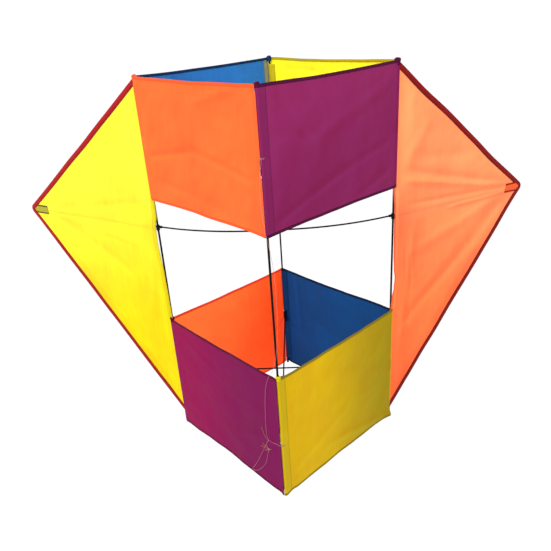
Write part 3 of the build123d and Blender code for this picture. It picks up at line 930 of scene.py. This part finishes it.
def tip_pocket(side, cloth):
    """The pocket sewn on the wing's tip: a flat patch in front and a pouch round the rod behind."""
    end = WING_REACH[side] - POCKET_INSET
    start = end - POCKET_LENGTH[side]
    half = POCKET_HEIGHT / 2
    columns, count = 22, 36
    points, cut, edge = [], [], []
    for i in range(columns):
        share = i / (columns - 1)
        x = start + (end - start) * share
        for k in range(count):
            angle = 2 * math.pi * k / count
            up, back = math.cos(angle), math.sin(angle)
            room = min(half, edge_room(side, x, up > 0, 2 * MM))
            height = room * math.copysign(abs(up) ** 0.6, up)
            inside = edge_room(side, x, up > 0, BINDING) - abs(height)
            under_tape = 1 - smoothstep(inside, 0.0, 3 * MM)
            ripple = 0.35 * MM * wrinkle(x, height + 3 * back, 17, 9 * MM)
            plane = wing_height(side, x, WING_ROD_Z + height)
            if back >= 0:
                pouch = -POCKET_DEPTH * (1 - 0.15 * smoothstep(share, 0.8, 1.0)) + ripple
                drawn = back**0.6 * (1 - 0.5 * abs(up) ** 4)
                front = plane * (1 - back) + (pouch - plane * 0.2) * drawn
            else:
                raised = (1.15 - 0.95 * under_tape) * MM + 0.3 * ripple * (1 - under_tape)
                front = plane + raised * (-back) ** 0.3
            points.append(wing_place(side, x, front, WING_ROD_Z + height))
            cut.append((x, height + 3 * half * (back > 0)))
            edge.append((room - abs(height) + HEM - 4.2 * MM, 1.0))
    faces = tube_faces(columns, count)
    faces.append(tuple((columns - 1) * count + k for k in reversed(range(count))))
    piece = new_piece(f"{side}_pocket", points, faces, cloth, {"cut": cut, "edge": edge})
    solidify(piece, POCKET_THICKNESS, -1.0)
    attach(piece, f"{side}_side")
    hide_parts(f"{side}_tip_pocket")


# --- Gathered corners ---


def gather(corner, kind, like, sizes, pull, material, seed):
    """Cloth bunched over or round a longeron, drawn in to the neck and pulled out one way."""
    origin = LONGERONS[corner]
    bottom, top, reach, neck = [value * MM for value in sizes]
    rings, count = 14, 40
    points, cut = [], []
    for i in range(rings):
        share = i / (rings - 1)
        z = bottom + (top - bottom) * (1 - (1 - share) ** 1.6)
        swell = 0.92 + 0.2 * math.sin(math.pi * share)
        close = math.sqrt(max(0.0, 1 - smoothstep(share, 0.55, 1.0) ** 2 * 0.985))
        for k in range(count):
            angle = 2 * math.pi * k / count
            pleat = 1 + 0.07 * math.sin(9 * angle + seed + 2.5 * share) * smoothstep(share, 0.1, 0.5)
            pleat += 0.1 * wrinkle(math.cos(angle), share * 2 + math.sin(angle), seed, 0.6)
            radius = max(neck, reach * swell * close * pleat)
            way = Vector((math.cos(angle), math.sin(angle)))
            drawn = max(0.0, way.dot(Vector(pull[:2]))) ** 2 * (pull[2] * MM) * close
            spot = origin + way * (radius + drawn)
            points.append(Vector((spot.x, spot.y, z)))
            cut.append((angle * reach, z))
    faces = tube_faces(rings, count)
    if neck < 1 * MM:
        faces.append(tuple((rings - 1) * count + k for k in range(count)))
    edge = [(5 * MM, 1.0)] * len(points)
    piece = new_piece(f"{corner}_{kind}", points, faces, material, {"cut": cut, "edge": edge})
    solidify(piece, PLAIN, -1.0)
    side = corner if corner in ("left", "right") else like.split("_", 1)[1]
    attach(piece, f"{side}_side")


# --- The bridle ---


def line_curve(name, route, material, cyclic=False, radius=LINE_RADIUS):
    """A round line along a smooth spline whose control points are the route's, in metres."""
    data = bpy.data.curves.new(name, "CURVE")
    data.dimensions = "3D"
    data.bevel_depth = radius
    data.bevel_resolution = 3
    data.resolution_u = 12
    data.use_fill_caps = not cyclic
    spline = data.splines.new("NURBS")
    spline.points.add(len(route) - 1)
    for point, place in zip(spline.points, route):
        point.co = (*place, 1.0)
    spline.order_u = 3
    spline.use_endpoint_u = not cyclic
    spline.use_cyclic_u = cyclic
    data.materials.append(material)
    return add_object(name, data)


def trefoil(centre, size, turn):
    """The route of an overhand knot: a closed trefoil, drawn up tight."""
    route = []
    for k in range(30):
        t = 2 * math.pi * k / 30
        flat = Vector((math.sin(t) + 2 * math.sin(2 * t), math.cos(t) - 2 * math.cos(2 * t),
                       -1.5 * math.sin(3 * t)))
        route.append(centre + turn @ flat * (size / 3))
    return route


def knot(name, node, centre, size, turn, material):
    """An overhand knot of the line, which stands for a whole node of the CAD."""
    piece = line_curve(name, trefoil(centre, size, turn), material, cyclic=True)
    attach(piece, "front_left_side")
    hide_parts(node)
    return piece


def bridle_tie(level, material):
    """The line tied round the corner of the cell: two turns of it and a knot at the front."""
    node = f"{level}_bridle_tie"
    origin = LONGERONS["front"]
    height = middle_of(node).z
    route = []
    turns, count = 2, 48
    for k in range(count + 1):
        share = k / count
        angle = TIE_ANGLE + 2 * math.pi * turns * share
        radius = TIE_RADIUS + 0.35 * MM * math.sin(3 * angle)
        climb = (share - 0.5) * TIE_WIDTH
        route.append((origin.x + radius * math.cos(angle), origin.y + radius * math.sin(angle),
                      height + climb))
    ring = line_curve(f"{level}_tie_turns", route, material)
    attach(ring, "front_left_side")
    out = Vector((math.cos(TIE_ANGLE), math.sin(TIE_ANGLE), 0)) * 6.7 * MM
    centre = Vector((origin.x, origin.y, height)) + out
    tight = knot(f"{level}_tie_knot", node, centre, 1.4 * MM, Quaternion((1, 0, 0.2), 1.1), material)
    return [ring, tight]


def in_metres(route):
    return [tuple(value * MM for value in point) for point in route]


def frayed_thread(k, reach, climb, material):
    """A loose thread of the tow loop's knot, lying along the cell's cloth."""
    start = middle_of("tow_knot")
    route = []
    for step in range(5):
        share = step / 4
        along = reach * share * 0.7071 * MM
        sway = 1.2 * MM * math.sin(2.3 * k + 4 * share)
        rise = climb * share * MM + sway
        route.append((start.x + along, start.y - along - 0.4 * MM, start.z + rise))
    return line_curve(f"tow_thread_{k + 1}", route, material, radius=0.6 * LINE_RADIUS)


def make_bridle():
    """The bridle and the tow loop, each one cord with its ties, knots and loose threads."""
    # Painted shade: the white line takes a darker, pinkish colour, as in shade
    white_line_in_shade = line_material("line_white_painted_shade", rgb(172, 114, 106))
    yellow = line_material("line_yellow", rgb(206, 150, 80))
    bridle = line_curve("bridle", in_metres(BRIDLE_ROUTE), white_line_in_shade)
    tow = line_curve("tow_line", in_metres(TOW_ROUTE), white_line_in_shade)
    for piece, node in ((bridle, "bridle_line"), (tow, "tow_loop")):
        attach(piece, "front_left_side")
        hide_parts(node)
    ties = [part for level in CELLS for part in bridle_tie(level, white_line_in_shade)]
    tilted = [Quaternion((1, 0.3, 0.2), angle) for angle in (0.8, 2.1)]
    middles = [middle_of(node) for node in ("bridle_knot", "tow_knot")]
    junction = knot("junction_knot", "bridle_knot", middles[0], 1.7 * MM, tilted[0], white_line_in_shade)
    end_knot = knot("tow_end_knot", "tow_knot", middles[1], 2.0 * MM, tilted[1], yellow)
    loose = line_curve("loose_end", in_metres(LOOSE_END), white_line_in_shade)
    threads = [frayed_thread(k, reach, climb, yellow) for k, (reach, climb) in enumerate(FRAYED)]
    for piece in (loose, *threads):
        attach(piece, "front_left_side")


# --- Putting it together ---

set_camera()
make_bridle()
set_stage()

# The colours of each panel's cloth, its hems, its corner strip and its sleeve on a side longeron,
# with painted light and shade: the lower front right yellow is the upper back right's yellow painted
# in shade, the lower back right blue is the upper back left's blue painted darker, and the lower
# back left orange is the upper front left's orange painted lighter, as if lit through from behind;
# the hems and strips are painted darker as shade of doubled cloth, and each sleeve's colour is
# painted with the light where it lies.
COLOURS = {
    "upper_front_left": (rgb(255, 114, 52), rgb(247, 96, 46), None, rgb(255, 110, 40)),
    "upper_front_right": (rgb(144, 34, 96), rgb(74, 6, 52), rgb(134, 30, 92), rgb(146, 24, 86)),
    "upper_back_left": (rgb(62, 144, 208), rgb(16, 50, 104), rgb(200, 176, 40), rgb(50, 120, 190)),
    "upper_back_right": (rgb(255, 255, 60), rgb(196, 180, 30), None, rgb(248, 236, 20)),
    "lower_front_left": (rgb(154, 10, 82), rgb(92, 4, 48), None, rgb(120, 24, 92)),
    "lower_front_right": (rgb(222, 187, 2), rgb(140, 120, 18), rgb(208, 182, 18), rgb(214, 160, 16)),
    "lower_back_left": (rgb(255, 164, 94), rgb(246, 86, 46), rgb(255, 120, 110), rgb(252, 90, 30)),
    "lower_back_right": (rgb(28, 94, 162), rgb(12, 34, 80), rgb(18, 70, 136), rgb(28, 74, 132)),
}
# Painted light and shade: the colour that some cloths turn to as the light falls on them, the way
# they do so (across, up), and from where to where
PAINTED_LIGHT_FADES = {
    "lower_front_right": (rgb(176, 153, 4), (1, 0, 0.1, 0.42)),
    "lower_front_left": (rgb(128, 14, 84), (1, 0, 0.0, 0.35)),
    "lower_back_left": (rgb(255, 122, 54), (-0.8, -0.6, -0.5, -0.1)),
    "upper_front_right": (rgb(156, 42, 106), (-0.35, 1, 0.72, 0.96)),
}
# Bunched corners: longeron, kind, the panel whose cloth it is, then in mm its bottom, top, reach
# and neck, and the way and length of its pull
GATHERS = [
    ("left", "top_gather", "upper_front_left", (986, 1000.5, 4.2, 0.3), (-1, 0.3, 1)),
    ("right", "top_gather", "upper_front_right", (985, 1001.5, 5.8, 0.3), (0.5, -0.9, 2)),
    ("back", "top_gather", "upper_back_left", (986, 1001.5, 4.7, 0.3), (-0.9, -0.4, 2)),
    ("front", "top_gather", "upper_front_right", (986, 1001.5, 4.4, 0.3), (0.7, 0.7, 0.5)),
    ("left", "low_gather", "lower_front_left", (349, 363, 4.6, 3.4), (-0.6, -0.8, 2)),
    ("front", "low_tuft", "lower_front_right", (350, 364, 4.5, 3.4), (0.8, -0.6, 3)),
]
# Each wing's cloth, what it turns to towards its top as painted light, its hem, painted darker as
# shade of doubled cloth, its pocket, the pocket's hem, and its tape
WING_COLOURS = {
    "left": (rgb(234, 221, 20), rgb(242, 234, 74), rgb(226, 206, 14), rgb(164, 158, 50),
             rgb(46, 40, 10), rgb(160, 18, 22)),
    "right": (rgb(255, 146, 86), rgb(255, 174, 122), rgb(255, 108, 60), rgb(244, 96, 46),
              rgb(128, 26, 12), rgb(132, 10, 10)),
}
# Where each wing turns to its lighter colour: painted light, lighter towards its top
WING_PAINTED_LIGHT_FADE = (0.35, 1.0, 0.3, 0.85)
# How strongly the painted light and shade of each wing's folds shows
WING_FOLD_SHADE_STRENGTH = {"left": 0.6, "right": 1.4}


def make_cells():
    """The four panels of each cell, the side longerons' sleeves and the bunched corners."""
    materials = {}
    for name, (colour, hem, strip, _) in COLOURS.items():
        far, way = PAINTED_LIGHT_FADES.get(name, (None, ()))
        glow = 0.5 if "back" in name else 0.3
        # How strongly the painted light and shade of the folds shows, most on the upper front panels
        fold_shade_strength = 1.6 if name.startswith("upper_front") else 0.8
        materials[name] = cloth_material(f"cloth_{name}", colour, hem, strip, glow, far, way, fold_shade_strength)
    for name, material in materials.items():
        cell_cloth(name, material)
    for level, side, face in product(("upper", "lower"), ("left", "right"), ("front", "back")):
        _, hem, _, colour = COLOURS[f"{level}_{face}_{side}"]
        material = cloth_material(f"sleeve_{level}_{side}_{face}", colour, hem, glow=0.15)
        side_sleeve(level, side, face, material)
    for k, (corner, kind, like, measures, pull) in enumerate(GATHERS):
        # Bunched cloth takes its panel's darker hem or strip colour, painted shade as for doubled
        # cloth
        colour = COLOURS[like][2 if "tuft" in kind else 1]
        bunched = cloth_material(f"gathered_{corner}_{kind}", colour, colour, glow=0.1)
        gather(corner, kind, like, measures, pull, bunched, k + 1)


def make_wings():
    """Each wing with its edge tape and its pocket."""
    for side, (colour, far, hem, pocket, pocket_hem, tape) in WING_COLOURS.items():
        wing = cloth_material(f"cloth_{side}_wing", colour, hem, None, 0.5, far, WING_PAINTED_LIGHT_FADE,
                              WING_FOLD_SHADE_STRENGTH[side])
        wing_cloth(side, wing)
        wing_binding(side, tape_material(f"binding_{side}", tape))
        tip_pocket(side, cloth_material(f"pocket_{side}", pocket, pocket_hem, glow=0.12))


def finish_hardware():
    """Give the CAD's rods, fittings, caps and ferrule their materials."""
    black = (0.003, 0.003, 0.0033, 1)
    across = solid_material("rod_across", black, 0.42, 60.0, (0.35, 14, 14), bump=0.12)
    endings = {
        "longeron": solid_material("rod_upright", black, 0.42, 60.0, (14, 14, 0.35), bump=0.12),
        "width_spreader": across,
        "wing_spreader": across,
        "depth_spreader": solid_material("rod_deep", black, 0.42, 60.0, (14, 0.35, 14), bump=0.12),
        "fitting": solid_material("vinyl_black", (0.005, 0.005, 0.0055, 1), 0.5, 220.0, bump=0.3),
        "end_caps": solid_material("rubber_black", (0.012, 0.012, 0.0125, 1), 0.66, 340.0,
                                   bump=0.4),
        "ferrule": solid_material("ferrule_tube", (0.05, 0.05, 0.055, 1), 0.36, 120.0, (0.2, 8, 8),
                                  metal=0.8),
    }
    for node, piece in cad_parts.items():
        for ending, material in endings.items():
            if node.endswith(ending):
                piece.data.materials.clear()
                piece.data.materials.append(material)
                for polygon in piece.data.polygons:
                    polygon.material_index = 0


make_cells()
make_wings()
finish_hardware()
